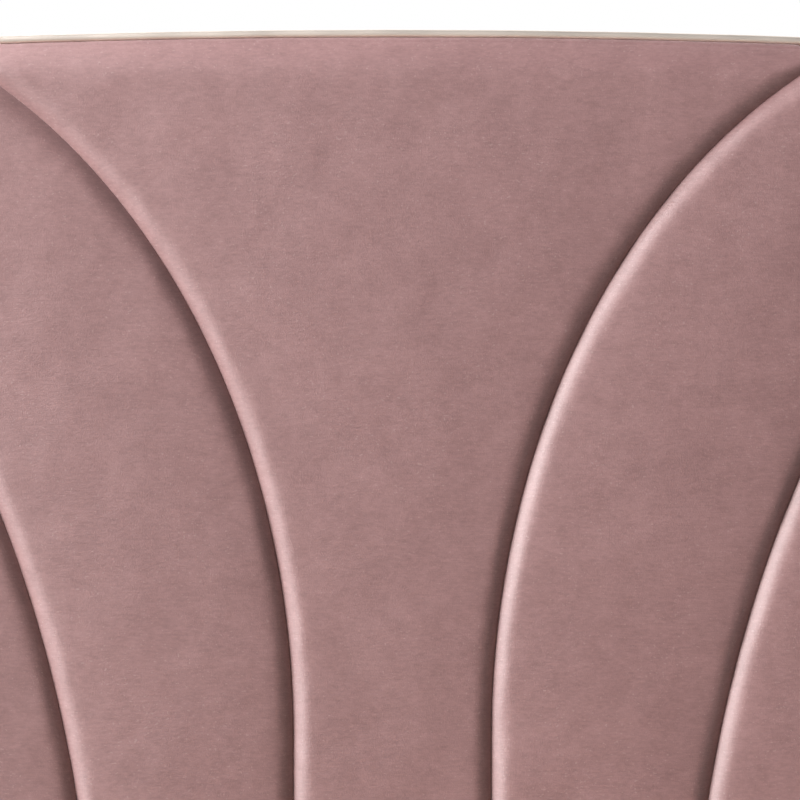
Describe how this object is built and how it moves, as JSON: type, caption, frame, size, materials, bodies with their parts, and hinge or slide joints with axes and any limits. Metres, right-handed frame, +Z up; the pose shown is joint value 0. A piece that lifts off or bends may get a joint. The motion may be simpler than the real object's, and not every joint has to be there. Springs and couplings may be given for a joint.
{
  "type": "upholstered headboard bed",
  "caption": "Platform bed with padded velvet-covered rails and a tall headboard whose padded channels flare outwards like a fan under an arched metal trim.",
  "frame": {"origin": "on the floor, under the middle of the bed's overall box", "axes": "+X to the right seen from the foot end, +Y towards the headboard, +Z up"},
  "size_m": [1.744, 2.197, 1.6],
  "materials": {
    "velvet": "soft pile, dusty pink",
    "back_cloth": "plain weave, dusty pink",
    "trim_metal": "satin champagne",
    "leg_metal": "satin champagne",
    "frame_timber": "planed softwood",
    "slat_timber": "planed softwood, lighter",
    "plywood": "raw plywood",
    "painted_timber": "painted black",
    "black_steel": "matt powder coat",
    "zinc_steel": "bright zinc",
    "nylon": "moulded black nylon"
  },
  "bodies": {
    "bed_frame": {"headboard_post_left": "frame_timber", "headboard_post_right": "frame_timber", "headboard_top_rail": "frame_timber", "headboard_middle_rail": "frame_timber", "headboard_bottom_rail": "frame_timber", "headboard_stile": "frame_timber", "side_rail_left": "frame_timber", "side_rail_right": "frame_timber", "foot_rail": "frame_timber", "slat_ledge_left": "frame_timber", "slat_ledge_right": "frame_timber", "centre_rail": "frame_timber", "slat_01": "slat_timber", "slat_02": "slat_timber", "slat_03": "slat_timber", "slat_04": "slat_timber", "slat_05": "slat_timber", "slat_06": "slat_timber", "slat_07": "slat_timber", "slat_08": "slat_timber", "slat_09": "slat_timber", "slat_10": "slat_timber", "slat_11": "slat_timber", "slat_12": "slat_timber", "headboard_face_board": "plywood", "channel_boards": "plywood", "channel_pad_centre": "velvet", "channel_pad_left_1": "velvet", "channel_pad_left_2": "velvet", "channel_pad_left_3": "velvet", "channel_pad_left_4": "velvet", "channel_pad_right_1": "velvet", "channel_pad_right_2": "velvet", "channel_pad_right_3": "velvet", "channel_pad_right_4": "velvet", "headboard_lower_panel": "velvet", "side_rail_cover_left": "velvet", "side_rail_cover_right": "velvet", "foot_rail_cover": "velvet", "headboard_back_panel": "back_cloth", "trim_top": "trim_metal", "trim_left": "trim_metal", "trim_right": "trim_metal", "head_leg_left": "leg_metal", "head_leg_right": "leg_metal", "foot_leg_left": "leg_metal", "foot_leg_right": "leg_metal", "centre_leg_head": "painted_timber", "centre_leg_foot": "painted_timber", "centre_rail_hangers": "black_steel", "leg_plates": "black_steel", "corner_brackets": "black_steel", "bracket_bolts": "zinc_steel", "t_nuts": "zinc_steel", "wood_screws": "zinc_steel", "leg_glides": "nylon"},
    "leveller_pad_head": {"leveller_pad_head": "nylon"},
    "leveller_pad_foot": {"leveller_pad_foot": "nylon"},
    "leveller_stud_head": {"leveller_stud_head": "zinc_steel"},
    "leveller_stud_foot": {"leveller_stud_foot": "zinc_steel"}
  },
  "joints": [
    {"name": "leveller_slide_head", "type": "slide", "parent": "bed_frame", "child": "leveller_pad_head", "axis": [0, 0, -1], "range_m": [0, 0.012]},
    {"name": "leveller_turn_head", "type": "hinge", "parent": "leveller_pad_head", "child": "leveller_stud_head", "pos_m": [0, 0.35, 0.01], "axis": [0, 0, -1], "range_deg": [0, 3456]},
    {"name": "leveller_slide_foot", "type": "slide", "parent": "bed_frame", "child": "leveller_pad_foot", "axis": [0, 0, -1], "range_m": [0, 0.012]},
    {"name": "leveller_turn_foot", "type": "hinge", "parent": "leveller_pad_foot", "child": "leveller_stud_foot", "pos_m": [0, -0.35, 0.01], "axis": [0, 0, -1], "range_deg": [0, 3456]}
  ],
  "couplings": [
    {"joint": "leveller_slide_head", "follows": "leveller_turn_head", "m_per_rad": 0.00019894},
    {"joint": "leveller_slide_foot", "follows": "leveller_turn_foot", "m_per_rad": 0.00019894}
  ]
}
